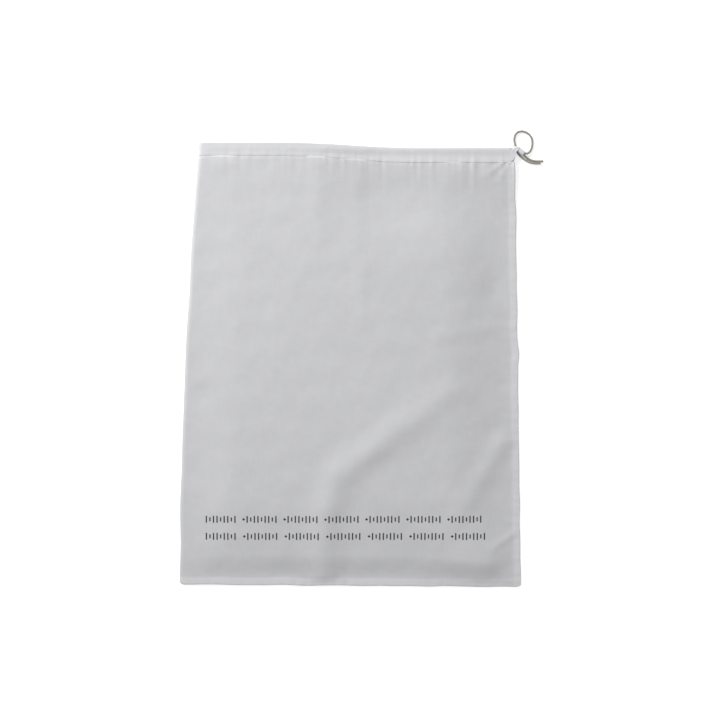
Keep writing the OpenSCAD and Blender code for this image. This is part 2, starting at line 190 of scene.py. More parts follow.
def wobble(seed, t, longest, shortest, count=7):
    """A smooth random curve between about -1 and 1, made of waves of those lengths."""
    rng = np.random.default_rng(seed)
    lengths = rng.uniform(shortest, longest, count)
    phases = rng.uniform(0, 2 * math.pi, count)
    total = sum(np.sin(2 * math.pi * t / s + p) for s, p in zip(lengths, phases))
    return total / math.sqrt(count)


def ripple(seed, x, y, longest, shortest, count=9):
    """A smooth random surface between about -1 and 1, made of waves in all directions."""
    rng = np.random.default_rng(seed)
    total = 0
    for _ in range(count):
        length = rng.uniform(shortest, longest)
        heading = rng.uniform(0, math.pi)
        phase = rng.uniform(0, 2 * math.pi)
        along = x * math.cos(heading) + y * math.sin(heading)
        total = total + np.sin(2 * math.pi * along / length + phase)
    return total / math.sqrt(count)


def spaced(total, fine, coarse, reach):
    """Distances from 0 to total, close together near both ends."""
    half = [0.0]
    while half[-1] < total / 2:
        half.append(half[-1] + mix(fine, coarse, min(1.0, half[-1] / reach)))
    scale = total / 2 / half[-1]
    first = [d * scale for d in half]
    return np.array(first + [total - d for d in reversed(first[:-1])])


# ---- the bag's outline, seen from above ----
def upness(y):
    return np.clip((y - BOTTOM) / BAG_H, 0, 1)


def fold_x(y):
    return LEFT + FOLD_LEAN * upness(y) ** 1.8 + 0.0003 * wobble(1, y, 0.16, 0.06)


def seam_x(y):
    place, height, reach = SEAM_BULGE
    bulge = height * bell((y - place) / reach)
    return RIGHT - SEAM_LEAN * upness(y) + bulge + 0.0003 * wobble(2, y, 0.12, 0.03)


def base_y(x):
    to_corner = np.minimum(x - LEFT, RIGHT - x)
    corner = 0.0022 * np.clip(1 - to_corner / CORNER_W, 0, 1) ** 2
    return BOTTOM + BASE_RISE * (0.5 - x / BAG_W) + corner + 0.0003 * wobble(3, x, 0.11, 0.03)


def drop_share(x):
    return ease((x + 0.08) / 0.16)


def top_y(x):
    return TOP - HEM_DROP * drop_share(x)


def hem_height(x):
    return mix(HEM_H_FOLD, HEM_H_SEAM, drop_share(x))


def hem_y(x):
    return top_y(x) - hem_height(x)


# ---- the bag's height ----
def openness(x, from_hem):
    closed = ease((x - MOUTH_CLOSE_FROM) / MOUTH_CLOSE_W)
    return 1 - closed * (1 - ease(from_hem / MOUTH_CLOSE_DEPTH))


def loft_height(x, y):
    """Height of the front's upper face, before its edges are rounded and its folds added."""
    from_fold = x - fold_x(y)
    from_seam = seam_x(y) - x
    from_base = y - base_y(x)
    from_hem = np.maximum(hem_y(x) - y, 0)
    edge = mix(MOUTH_TOP_Z, SEAM_TOP_Z, ease(from_hem / MOUTH_RAMP_W))
    # both bottom corners rise more steeply, the sewn one most
    corner = ease((x - 0.070) / 0.090) + 0.5 * ease((-0.140 - x) / 0.040)
    steep = mix(0.42, 0.85, corner)
    base_rise = steep * ease((from_base - mix(0.009, 0.003, corner)) / STEEP_BASE_W)
    base_rise = base_rise + (1 - steep) * ease((from_base - ALLOWANCE_W) / BASE_RAMP_W)
    crown = (LOFT_Z - edge) * openness(x, from_hem) * base_rise
    low = 1 - ease((from_base - 0.025) / 0.070)
    seam_ramp = mix(SEAM_RAMP_W, STEEP_SEAM_W, low)
    crown = crown * ease((from_seam - mix(ALLOWANCE_W, 0.003, low)) / seam_ramp)
    low_share = mix(1, 0.2, np.clip(from_hem / BAG_H, 0, 1))
    body = edge + crown * mix(low_share, 1, ease((from_fold - NOSE_W) / FOLD_RAMP_W))
    return body + HEM_RAISE * bell(from_hem / RAISE_W)


def edge_round(x, y):
    """1 inside the panel, falling along quarter circles to 0 at its fold and its seams."""
    share = 1
    gaps = [
        (x - fold_x(y), NOSE_W), (seam_x(y) - x, SEAM_ROUND_W), (y - base_y(x), SEAM_ROUND_W),
    ]
    for gap, width in gaps:
        t = 1 - np.clip(gap / width, 0, 1)
        share = share * np.sqrt(np.maximum(1 - t * t, 0))
    return share


def ridge(x, y, line, heights, half_width):
    """A fold's height at points (x, y): a soft ridge along a crest line."""
    nearest = np.full(np.shape(x), 1e9)
    crest = np.zeros(np.shape(x))
    for k in range(len(line) - 1):
        ax, ay = line[k]
        bx, by = line[k + 1]
        dx, dy = bx - ax, by - ay
        t = np.clip(((x - ax) * dx + (y - ay) * dy) / (dx * dx + dy * dy), 0, 1)
        away = np.hypot(x - ax - t * dx, y - ay - t * dy)
        closer = away < nearest
        nearest = np.where(closer, away, nearest)
        crest = np.where(closer, mix(heights[k], heights[k + 1], t), crest)
    return crest * np.exp(-nearest ** 2 / (2 * half_width ** 2))


def pinch_creases(x, y):
    """Narrow creases that fan out of the corner where the cord is drawn tight."""
    total = 0
    dx, dy = x - PINCH_AT[0], y - PINCH_AT[1]
    for angle, reach, height in PINCH_CREASES:
        c, s = math.cos(math.radians(angle)), math.sin(math.radians(angle))
        along = dx * c + dy * s
        across = -dx * s + dy * c
        width = 0.0012 + 0.045 * np.maximum(along, 0)
        fade = ease(along / 0.006) * (1 - ease(along / reach))
        total = total + height * fade * bell(across / width)
    return total


def hem_pucker(x, y):
    """The hem's stitching draws the cloth into small waves, stronger towards the cord."""
    strength = mix(0.00016, 0.00038, ease((x + 0.10) / 0.20))
    waves = wobble(4, x, 0.017, 0.006, 9)
    away = y - hem_y(x) + STITCH_DROP
    fade = np.where(away < 0, np.exp(away / 0.013), np.exp(-away / 0.006))
    return strength * waves * fade


def seam_pucker(x, y):
    from_seam = np.maximum(seam_x(y) - x, 0)
    from_base = np.maximum(y - base_y(x), 0)
    side = wobble(5, y, 0.022, 0.008, 9) * ease(from_seam / 0.002) * np.exp(-from_seam / 0.009)
    base = wobble(6, x, 0.020, 0.008, 9) * ease(from_base / 0.002) * np.exp(-from_base / 0.009)
    return 0.00018 * (side + base)


def seam_groove(x, y):
    """The seam allowances inside lift a narrow band, with a shallow step at its inner edge."""
    from_seam = seam_x(y) - x
    from_base = y - base_y(x)
    side = ease((ALLOWANCE_W + 0.001 - from_seam) / 0.0016)
    base = ease((ALLOWANCE_W + 0.001 - from_base) / 0.0016)
    return 0.00022 * np.maximum(side, base)


def front_folds(x, y):
    """Everything that the lying cloth adds to the loft: folds, creases, puckers, waves."""
    inside = ease((x - fold_x(y)) / 0.012) * ease((seam_x(y) - x) / 0.012)
    inside = inside * ease((y - base_y(x)) / 0.012)
    total = 0
    for line, heights, half_width in FOLDS:
        total = total + ridge(x, y, line, heights, half_width)
    total = total + 0.00016 * ripple(7, x, y, 0.080, 0.030)
    total = total + 0.00004 * ripple(8, x, y, 0.018, 0.008)
    total = total + pinch_creases(x, y)
    total = total * inside * mix(0.35, 1, ease((hem_y(x) - y) / 0.010))
    stitch_line = bell((y - hem_y(x) + STITCH_DROP) / 0.0009)
    total = total - 0.00018 * stitch_line + hem_pucker(x, y)
    return total + seam_pucker(x, y) + seam_groove(x, y)


def front_top(x, y):
    """Height of the front's upper face. Its near edges curl down to meet the back."""
    height = loft_height(x, y)
    share = edge_round(x, y)
    return height / 2 + height / 2 * share + front_folds(x, y) * share


def back_bottom(x, y):
    """Height of the back's lower face: flat, and curling up to meet the front."""
    wave = 0.00012 * (1 + ripple(9, x, y, 0.090, 0.030))
    inside = ease((x - fold_x(y)) / 0.020) * ease((seam_x(y) - x) / 0.020)
    return loft_height(x, y) / 2 * (1 - edge_round(x, y)) + wave * inside * ease(
        (y - base_y(x)) / 0.020)


# ---- mesh building ----
def mesh_object(name, points, faces, attributes=None, smooth=True):
    """A mesh from points and faces. attributes maps a name to one value or vector a point."""
    mesh = bpy.data.meshes.new(name)
    mesh.from_pydata([tuple(map(float, p)) for p in points], [], [tuple(f) for f in faces])
    for key, values in (attributes or {}).items():
        values = np.asarray(values, np.float32)
        kind = "FLOAT_VECTOR" if values.ndim == 2 else "FLOAT"
        attribute = mesh.attributes.new(key, kind, "POINT")
        attribute.data.foreach_set("vector" if values.ndim == 2 else "value", values.ravel())
    if smooth:
        mesh.polygons.foreach_set("use_smooth", [True] * len(mesh.polygons))
    mesh.update()
    piece = bpy.data.objects.new(name, mesh)
    bpy.context.scene.collection.objects.link(piece)
    return piece


def grid_faces(rows, columns, first=0, around=False, flip=False):
    """Quads over rows x columns points; around joins the last column to the first."""
    faces = []
    for j in range(rows - 1):
        for i in range(columns if around else columns - 1):
            a = first + j * columns + i
            b = first + j * columns + (i + 1) % columns
            quad = (a, b, b + columns, a + columns)
            faces.append(quad[::-1] if flip else quad)
    return faces


def add_thickness(piece, thickness, offset):
    solid = piece.modifiers.new("thickness", "SOLIDIFY")
    solid.thickness = thickness
    solid.offset = offset


def shell_tube(name, outer, inner, attributes=None):
    """A hollow tube between two lists of rings, with its walls showing at both ends."""
    rings, sides = outer.shape[:2]
    count = rings * sides
    faces = grid_faces(rings, sides, 0, True) + grid_faces(rings, sides, count, True, True)
    for first, flip in ((0, True), ((rings - 1) * sides, False)):
        for i in range(sides):
            a, b = first + i, first + (i + 1) % sides
            quad = (a, b, b + count, a + count)
            faces.append(quad[::-1] if flip else quad)
    points = np.concatenate([outer.reshape(-1, 3), inner.reshape(-1, 3)])
    return mesh_object(name, points, faces, attributes)


def smooth_route(route, steps):
    """The smooth curve through a route's points, as the CAD tubes follow it."""
    route = np.array(route)
    last = len(route) - 1
    line = []
    for k in range(last):
        a, b = route[max(k - 1, 0)], route[k]
        c, d = route[k + 1], route[min(k + 2, last)]
        for s in range(steps):
            t = s / steps
            line.append((2 * b + (c - a) * t + (2 * a - 5 * b + 4 * c - d) * t * t
                         + (3 * b - a - 3 * c + d) * t ** 3) / 2)
    line.append(route[last])
    return np.array(line)


def evenly(line, step):
    """The same line with its points about step apart."""
    pieces = np.linalg.norm(np.diff(line, axis=0), axis=1)
    along = np.concatenate([[0], np.cumsum(pieces)])
    at = np.linspace(0, along[-1], max(2, int(math.ceil(along[-1] / step)) + 1))
    return np.stack([np.interp(at, along, line[:, k]) for k in range(3)], axis=1)


def line_length(line):
    return float(np.linalg.norm(np.diff(line, axis=0), axis=1).sum())


def carried_frames(line):
    """Unit side and up vectors along a line, carried without twisting."""
    ahead = np.gradient(line, axis=0)
    ahead /= np.linalg.norm(ahead, axis=1)[:, None]
    side = np.cross(ahead[0], (0, 0, 1.0))
    sides = []
    for d in ahead:
        side = side - d * (side @ d)
        side = side / np.linalg.norm(side)
        sides.append(side)
    sides = np.array(sides)
    return sides, np.cross(sides, ahead)


# ---- the bag's cloth ----
def panel_grid(columns, rows):
    """x and y of a panel's points. columns and rows are shares of its width and height."""
    share_x, share_y = np.meshgrid(columns, rows)
    x = mix(LEFT, RIGHT, share_x)
    y = mix(BOTTOM, TOP, share_y)
    for _ in range(3):
        y = mix(base_y(x), hem_y(x) + 0.0012, share_y)
        x = mix(fold_x(y), seam_x(y), share_x)
    return x, y


def hem_plies_and_painted_shade(x, y):
    """The hem's extra whiteness: more towards the fold, with painted shade along its upper edge,
    which faces the key light: there the colour is darkened to offset that light."""
    up = (y - hem_y(x)) / hem_height(x)
    # painted shade: darkens the upper edge that faces the key light, most towards the fold
    upper_edge_painted_shade = mix(1.10, 0.20, drop_share(x)) * ease((up - 0.15) / 0.50)
    return mix(1, 0.54, ease((x + 0.19) / 0.30)) * (1.05 - upper_edge_painted_shade)


def ply_and_painted_shade_share(x, y):
    """1 where extra plies lie under the surface: at the hem and along both seams; it also carries
    painted shade along the hem's upper edge and towards the bottom-right corner.
    """
    hem = hem_plies_and_painted_shade(x, y) * ease((y - hem_y(x) + STITCH_DROP + 0.0006) / 0.0012)
    side = 0.40 * ease((ALLOWANCE_W + 0.0008 - seam_x(y) + x) / 0.0016)
    # painted shade: the base band's whiteness fades out towards the bottom-right corner
    painted_shade_fade = mix(1, 0.1, ease((x - 0.07) / 0.07))
    base = 0.36 * painted_shade_fade * ease((ALLOWANCE_W + 0.0008 - y + base_y(x)) / 0.0016)
    return np.maximum(hem, np.maximum(side, base))


def make_bag_cloth():
    """Front and back in one sheet: from the side seam over the front, round the fold at the
    left, and over the back to the side seam again."""
    columns = spaced(1, 0.0009, 0.0060, 0.030)
    back_columns = spaced(1, 0.0009, 0.0150, 0.030)[1:]
    rows = spaced(1, 0.0007, 0.0046, 0.040)
    front_x, front_y = panel_grid(columns[::-1], rows)
    back_x, back_y = panel_grid(back_columns, rows)
    front = np.stack([front_x, front_y, front_top(front_x, front_y)], axis=2)
    back = np.stack([back_x, back_y, back_bottom(back_x, back_y)], axis=2)
    tucked = ease((back_y - hem_y(back_x) + 0.0002) / 0.0006)
    back[:, :, 2] += 0.0001 * tucked
    front[:, :, 2] -= 0.0001 * ease((front_y - hem_y(front_x) + 0.0002) / 0.0006)
    grid = np.concatenate([front, back], axis=1)
    around = np.concatenate([front_x, 2 * fold_x(back_y) - back_x], axis=1)
    height = grid[:, :, 1]
    place = np.stack([around, height, np.zeros_like(around)], axis=2).reshape(-1, 3)
    plies = ply_and_painted_shade_share(grid[:, :, 0], height).ravel()
    faces = grid_faces(grid.shape[0], grid.shape[1], flip=True)
    points = grid.reshape(-1, 3)
    piece = mesh_object("bag_cloth", points, faces, {"cloth_place": place, "plies": plies})
    add_thickness(piece, PLY, -1)
    return piece


# ---- the hem ----
def hem_stations():
    """Stations along the hem, from the outlet over the front, round the fold and back again.
    Each gives x, the angle turned round the fold, and whether it is on the flat back."""
    nose_x = fold_x(TOP) + NOSE_W
    front = [(x, 0.0, 0) for x in np.arange(OUTLET_X, nose_x, -0.0013)]
    nose = [(nose_x, a, 0) for a in np.linspace(0, math.pi, 27)[1:-1]]
    back = [(x, math.pi, 1) for x in np.arange(nose_x, OUTLET_X + 0.0001, 0.0030)]
    return front + nose + back


def hem_base_point(x, turn, y):
    """A point on the bag's own outline at this station, and its outward direction."""
    at_hem = hem_y(x)
    height = loft_height(x, at_hem)
    if turn == 0:
        return np.array([x, y, height]), np.array([0, 0, 1.0])
    if turn == math.pi:
        return np.array([x, y, 0.0]), np.array([0, 0, -1.0])
    out = np.array([-math.sin(turn), 0, math.cos(turn)])
    centre = fold_x(y) + NOSE_W
    place = [centre - NOSE_W * math.sin(turn), y, height / 2 * (1 + math.cos(turn))]
    return np.array(place), out


def cord_tent(x, turn, up):
    """How far the cord lifts the free ply of the hem, at a height up from its lower edge."""
    share = turn / math.pi
    cord_at = mix(FRONT_CORD_Y, BACK_CORD_Y, share) - hem_y(x)
    cord_at = cord_at + 0.0003 * wobble(11, np.float64(x), 0.060, 0.020)
    lift = mix(CORD_LIFT - HEM_RAISE, CORD_LIFT, share)
    lift = lift * (1 + 0.05 * wobble(12, np.float64(x), 0.040, 0.012))
    body = 0.00025 * ease(up / 0.003)
    return (body + lift * bell((up - cord_at) / 0.0052)) * ease(up / 0.0025)


def hem_offsets(x, turn, up, wall):
    """Distances outward from the bag's outline of the hem's outer and inner faces."""
    share = turn / math.pi
    tent = cord_tent(x, turn, up)
    pucker = float(hem_pucker(x, hem_y(x) + up)) if turn in (0, math.pi) else 0.0
    outer = tent * (1 - share) + pucker * (1 - share)
    turn_room = 0.0020 * math.sin(math.pi * share) * float(ease(up / 0.004))
    sag = HEM_RAISE * (1 - share) * float(ease(up / 0.004))
    inner = -(2 * CLOTH_T + tent * share + turn_room + sag) + pucker * (1 - share)
    return outer - wall, inner + wall


def hem_ring(x, turn, wall):
    """One section of the hem: up its outer face, round its top edge and down its inner face."""
    high = float(hem_height(x))
    cap = 0.0013
    low = 0.0009 if wall else 0.0
    climb = np.linspace(low, high - cap, 17)
    ring = []
    for up in climb:
        ring.append((up, hem_offsets(x, turn, up, wall)[0]))
    outer, inner = hem_offsets(x, turn, high - cap, wall)
    middle, half = (outer + inner) / 2, (outer - inner) / 2
    for a in np.linspace(0, math.pi, 9)[1:-1]:
        ring.append((high - cap + (cap - wall) * math.sin(a), middle + half * math.cos(a)))
    for up in climb[::-1]:
        ring.append((up, hem_offsets(x, turn, up, wall)[1]))
    points = []
    for up, away in ring:
        base, out = hem_base_point(x, turn, float(hem_y(x)) + up)
        points.append(base + out * away)
    return points


def make_mouth_hem():
    """The hem as one hollow tube of cloth that follows the mouth round its fold."""
    stations = hem_stations()
    outer = np.array([hem_ring(x, turn, 0) for x, turn, _ in stations])
    inner = np.array([hem_ring(x, turn, PLY) for x, turn, _ in stations])
    both = np.concatenate([outer, inner])
    nose_x = fold_x(TOP) + NOSE_W
    along = [x if not back and turn == 0 else 2 * nose_x - x - NOSE_W * turn
             for x, turn, back in stations]
    along = np.tile(np.array(along)[:, None], (2, outer.shape[1]))
    place = np.stack([along, both[:, :, 1], both[:, :, 2] * 0], axis=2).reshape(-1, 3)
    plies = hem_plies_and_painted_shade(both[:, :, 0], both[:, :, 1]).ravel()
    return shell_tube("mouth_hem", outer, inner, {"cloth_place": place, "plies": plies})


# ---- the pinched outlet ----
# Lower and upper end of each ring of the outlet, seen from above
OUTLET_RINGS = [
    ((0.1872, 0.2364), (0.1868, 0.2546)), ((0.1900, 0.2372), (0.1886, 0.2548)),
    ((0.1918, 0.2396), (0.1903, 0.2552)), ((0.1928, 0.2424), (0.1920, 0.2558)),
    ((0.1933, 0.2454), (0.1940, 0.2561)), ((0.1936, 0.2480), (0.1960, 0.2558)),
    ((0.1939, 0.2497), (0.1981, 0.2552)), ((0.1947, 0.2494), (0.1989, 0.2543)),
]
OUTLET_SIDES = 64


def outlet_section(lower, upper, closed, inset):
    """One ring of the outlet. closed runs from 0, the flat end of the hem, to 1, the neck."""
    lower, upper = np.array(lower), np.array(upper)
    centre, half = (lower + upper) / 2, (upper - lower) / 2
    ring = []
    for k in range(OUTLET_SIDES):
        a = -2 * math.pi * k / OUTLET_SIDES
        c, s = math.cos(a), math.sin(a)
        squareness = mix(0.35, 0.95, closed)
        across = math.copysign(abs(c) ** squareness, c)
        rise = math.copysign(abs(s) ** squareness, s)
        up = (across + 1) / 2 * HEM_H_SEAM
        top = MOUTH_TOP_Z + HEM_RAISE + float(cord_tent(OUTLET_X, 0.0, up)) + 0.00012
        flat_z = mix(0.0026, top, rise) if rise > 0 else 0.0026 * (1 + rise)
        neck_z = 0.0049 + 0.0026 * rise
        gather = 0.10 * math.cos(6 * a + 0.8) + 0.07 * math.cos(11 * a + 2.0)
        gather = 1 + gather * closed ** 1.5
        z = mix(flat_z, neck_z, float(ease(closed)))
        middle_z = mix(0.0026, 0.0049, float(ease(closed)))
        shrink = max(0.2, 1 - inset / np.linalg.norm(half))
        xy = centre + half * across * gather * shrink
        lifted = middle_z + (z - middle_z) * gather * max(0.2, 1 - inset / 0.0032)
        ring.append((xy[0], xy[1], max(lifted, inset + 0.00005)))
    return ring


def make_outlet():
    """The hem's end, drawn together into a narrow neck round the cord's two strands."""
    ends = [smooth_route([(*ring[k], 0) for ring in OUTLET_RINGS], 5) for k in (0, 1)]
    closed = np.linspace(0, 1, len(ends[0])) ** 0.9
    outer = []
    inner = []
    for lower, upper, share in zip(ends[0], ends[1], closed):
        outer.append(outlet_section(lower[:2], upper[:2], share, 0))
        inner.append(outlet_section(lower[:2], upper[:2], share, PLY))
    outer, inner = np.array(outer), np.array(inner)
    both = np.concatenate([outer, inner]).reshape(-1, 3)
    place = both * (1, 1, 0)
    # painted shade in the creases of the gathers and painted highlight on their ridges, stronger
    # towards the neck, over the gathered end's extra plies
    painted_gather_shade = np.array([math.cos(6 * -2 * math.pi * k / OUTLET_SIDES + 0.8)
                       for k in range(OUTLET_SIDES)])
    plies = np.clip(0.72 + 0.30 * closed[:, None] * painted_gather_shade[None, :], 0, 1.2)
    plies = np.tile(plies, (2, 1)).ravel()
    return shell_tube("cord_outlet_gathers", outer, inner,
                      {"cloth_place": place, "plies": plies})


# ---- seam allowances ----
def make_allowance(name, edge_points, inward, seed):
    """Two raw-edged plies lying inside a seam, slightly wavy along their free edge."""
    count = len(edge_points)
    across = np.linspace(0.0012, ALLOWANCE_W, 6)
    rows = []
    for share in across:
        free = (share - 0.0012) / (ALLOWANCE_W - 0.0012)
        along = np.arange(count) * 0.002
        fray = 0.00025 * wobble(seed, along, 0.012, 0.004) * free
        lift = 0.00012 * wobble(seed + 1, along, 0.030, 0.010) * free
        row = edge_points + inward * (share + fray)[:, None]
        row[:, 2] = 0.00095 + lift
        rows.append(row)
    grid = np.array(rows)
    place = grid.reshape(-1, 3) * (1, 1, 0)
    faces = grid_faces(len(rows), count)
    piece = mesh_object(name, grid.reshape(-1, 3), faces,
                        {"cloth_place": place, "plies": np.zeros(len(place))})
    add_thickness(piece, 2 * PLY, 0)
    return piece


def side_edge():
    y = np.arange(BOTTOM + 0.010, float(hem_y(0.190)) - 0.004, 0.002)
    return np.stack([seam_x(y), y, np.zeros_like(y)], axis=1)


def base_edge():
    x = np.arange(LEFT + 0.006, RIGHT - 0.002, 0.002)
    return np.stack([x, base_y(x), np.zeros_like(x)], axis=1)


# ---- sewing thread ----
STITCH_STEP = 0.0032
SEAM_STITCH_STEP = 0.0030
SEAM_STITCH_INSET = 0.0009
SEAM_STITCH_Z = 0.00066


def stitch_row(name, centres, headings, length, thread_d, sink):
    """A row of separate stitches: short thick bars with their ends dipping into the cloth."""
    rings, sides = 7, 8
    points = []
    faces = []
    for centre, heading in zip(centres, headings):
        first = len(points)
        ahead = np.array([math.cos(heading), math.sin(heading), 0])
        side = np.array([-ahead[1], ahead[0], 0])
        for r in np.linspace(-1, 1, rings):
            width = thread_d / 2 * math.sqrt(max(1 - 0.85 * r ** 4, 0.02))
            middle = centre + ahead * (r * length / 2)
            middle = middle - np.array([0, 0, sink * r * r])
            for k in range(sides):
                a = 2 * math.pi * k / sides
                points.append(middle + width * (math.cos(a) * side
                                                + 0.7 * math.sin(a) * np.array([0, 0, 1])))
        faces += grid_faces(rings, sides, first, True)
        faces.append(tuple(first + k for k in reversed(range(sides))))
        faces.append(tuple(first + (rings - 1) * sides + k for k in range(sides)))
    return mesh_object(name, points, faces)


def hem_stitch_places(inside):
    """Centres and headings of the hem's stitches, on the front's face or inside the back."""
    rng = np.random.default_rng(21 + inside)
    x = np.arange(ELBOW_X + 0.001, OUTLET_X - 0.002, STITCH_STEP)
    x = x + rng.normal(0, 0.00008, len(x))
    y = hem_y(x) - STITCH_DROP + rng.normal(0, 0.00005, len(x))
    if inside:
        z = back_bottom(x, y) + PLY + 0.00012
    else:
        z = front_top(x, y) + 0.00006
    slope = (hem_y(x + 0.002) - hem_y(x - 0.002)) / 0.004
    return np.stack([x, y, z], axis=1), np.arctan(slope) + rng.normal(0, 0.04, len(x))


def make_hem_stitches(name, inside):
    centres, headings = hem_stitch_places(inside)
    return stitch_row(name, centres, headings, 0.0026, 0.00038, 0.00016)


def make_seam_stitches(name, edge, inward, heading):
    """The lock stitches of a seam, between the two plies of the cloth."""
    centres = evenly(edge + inward * SEAM_STITCH_INSET, SEAM_STITCH_STEP)
    centres[:, 2] = SEAM_STITCH_Z
    return stitch_row(name, centres, [heading] * len(centres), 0.0025, 0.00034, 0.00005)


# ---- print ----
def printed_marks():
    """Centre, width, height and turn of every generic mark in the two rows."""
    group_w = BARS_PER_GROUP * BAR_PITCH + GROUP_GAP
    marks = []
    for left, right, middle_y in PRINTED_SPANS:
        groups = int((right - left) // group_w)
        step = (right - left) / groups
        for g in range(groups):
            start_x = left + g * step
            for k in range(BARS_PER_GROUP):
                high = BAR_H * (0.6 if k % 3 == 1 else 1)
                marks.append((start_x + BAR_W / 2 + k * BAR_PITCH, middle_y, BAR_W, high, 0))
            if g < groups - 1:
                lozenge_x = start_x + step - LOZENGE_BACK
                marks.append((lozenge_x, middle_y, LOZENGE_W, LOZENGE_W, math.pi / 4))
    return marks


def make_print():
    """Thin ink marks that follow the cloth's surface, folds included."""
    points = []
    faces = []
    for x, y, width, height, turn in printed_marks():
        rows = max(3, int(height / 0.0011) + 1)
        u, v = np.meshgrid(np.linspace(-0.5, 0.5, 3) * width, np.linspace(-0.5, 0.5, rows) * height)
        px = x + u * math.cos(turn) - v * math.sin(turn)
        py = y + u * math.sin(turn) + v * math.cos(turn)
        first = len(points)
        points += list(np.stack([px, py, front_top(px, py) + 0.00003], axis=2).reshape(-1, 3))
        faces += grid_faces(rows, 3, first)
    place = np.array(points) * (1, 1, 0)
    piece = mesh_object("printed_marks", points, faces, {"cloth_place": place})
    add_thickness(piece, 0.00007, 1)
    return piece


# ---- the drawcord ----
CORD_SIDES = 24
CORD_STRANDS = 5
CORD_TWIST = 0.0085


def make_cord(name, line, frayed=False):
    """A twisted cord along a line: strands wound round each other, with valleys between."""
    line = evenly(np.array(line), 0.0005)
    side, up = carried_frames(line)
    along = np.arange(len(line)) * line_length(line) / (len(line) - 1)
    points = []
    painted_valley_shade = []
    place = []
    for k, middle in enumerate(line):
        for i in range(CORD_SIDES):
            a = 2 * math.pi * i / CORD_SIDES
            lobe = abs(math.cos(CORD_STRANDS / 2 * a + math.pi * along[k] / CORD_TWIST))
            radius = CORD_D / 2 * (0.97 + 0.08 * lobe)
            if frayed:
                to_end = along[-1] - along[k]
                radius *= 1 + 0.12 * math.exp(-to_end / 0.0015) * math.cos(3 * a + 1)
            points.append(middle + radius * (math.cos(a) * side[k] + math.sin(a) * up[k]))
            # valley depth between the strands, used to paint shade into the valleys
            painted_valley_shade.append(1 - lobe)
            place.append((along[k], a / (2 * math.pi) * 0.008, 0))
    faces = grid_faces(len(line), CORD_SIDES, 0, True)
    faces.append(tuple(reversed(range(CORD_SIDES))))
    last = (len(line) - 1) * CORD_SIDES
    faces.append(tuple(last + i for i in range(CORD_SIDES)))
    attributes = {"painted_valley_shade": painted_valley_shade, "cloth_place": np.array(place)}
    return mesh_object(name, points, faces, attributes), line


def front_hem_base(x):
    closing = ease((seam_x(hem_y(x)) - x - ALLOWANCE_W) / SEAM_RAMP_W)
    return MOUTH_BASE_Z + (LOFT_Z - MOUTH_TOP_Z) * openness(x, 0) * closing


def front_run_z(x):
    """The cord lies a little low in the front tunnel, clear of the ply above it."""
    return front_hem_base(x) + HEM_T / 2 - CORD_SINK


def front_run_line():
    x = np.linspace(ELBOW_X, FRONT_ROUTE[0][0], 60)
    return np.stack([x, np.full_like(x, FRONT_CORD_Y), front_run_z(x)], axis=1)


def back_run_line():
    x = np.linspace(ELBOW_X, BACK_ROUTE[0][0], 60)
    return np.stack([x, np.full_like(x, BACK_CORD_Y), np.full_like(x, HEM_T / 2)], axis=1)


def far_turn_line():
    """Half a circle from the front run's far end to the back run's."""
    start, end = front_run_line()[0], back_run_line()[0]
    centre, half = (start + end) / 2, (start - end) / 2
    reach = np.linalg.norm(half)
    turns = np.linspace(0, math.pi, 40)
    return np.array([centre + half * math.cos(t) - np.array([reach * math.sin(t), 0, 0])
                     for t in turns])


def make_sleeve():
    """A smooth barrel-shaped bead with one oval bore that both strands pass through."""
    start, end = np.array(SLEEVE_START), np.array(SLEEVE_END)
    ahead = (end - start) / np.linalg.norm(end - start)
    side = np.cross(ahead, (0, 0, 1.0))
    side /= np.linalg.norm(side)
    up = np.cross(side, ahead)
    sides = 48
    profile = []
    for t in np.linspace(0, math.pi / 2, 7):
        radius = SLEEVE_R - SLEEVE_LIP + SLEEVE_LIP * math.sin(t)
        profile.append((0.0008 * (1 - math.cos(t)), radius))
    length = np.linalg.norm(end - start)
    body = [(s, SLEEVE_R + SLEEVE_BULGE * math.sin(math.pi * s / length))
            for s in np.linspace(0.0013, length - 0.0013, 9)]
    profile = profile + body + [(length - s, r) for s, r in reversed(profile[:7])]
    outer = []
    inner = []
    for s, radius in profile:
        turns = [2 * math.pi * k / sides for k in range(sides)]
        outer.append([start + ahead * s + radius * (math.cos(a) * side + math.sin(a) * up)
                      for a in turns])
        inner.append([start + ahead * s + SLEEVE_BORE[0] * math.cos(a) * side
                      + SLEEVE_BORE[1] * math.sin(a) * up for a in turns])
    outer, inner = np.array(outer), np.array(inner)
    limit = np.linalg.norm(outer - inner, axis=2, keepdims=True)
    inner = np.where(limit < 0.0002, outer * 0.9 + inner * 0.1, inner)
    return shell_tube("white_sleeve", outer, inner)


# ---- materials ----
WEAVE_MM = 0.55


def add(tree, kind, inputs=(), **settings):
    """A shader node with its settings and its inputs, which are values or other sockets."""
    node = tree.nodes.new(kind)
    for key, value in settings.items():
        setattr(node, key, value)
    for socket, value in inputs:
        if isinstance(value, bpy.types.NodeSocket):
            tree.links.new(value, node.inputs[socket])
        else:
            node.inputs[socket].default_value = value
    return node


def maths(tree, operation, a, b=0.0):
    return add(tree, "ShaderNodeMath", [(0, a), (1, b)], operation=operation).outputs[0]


def new_material(name, roughness, sheen=0.0, specular=0.5):
    material = bpy.data.materials.new(name)
    material.use_nodes = True
    shader = material.node_tree.nodes["Principled BSDF"]
    shader.inputs["Roughness"].default_value = roughness
    shader.inputs["Sheen Weight"].default_value = sheen
    shader.inputs["Sheen Roughness"].default_value = 0.5
    shader.inputs["Specular IOR Level"].default_value = specular
    return material, material.node_tree, shader


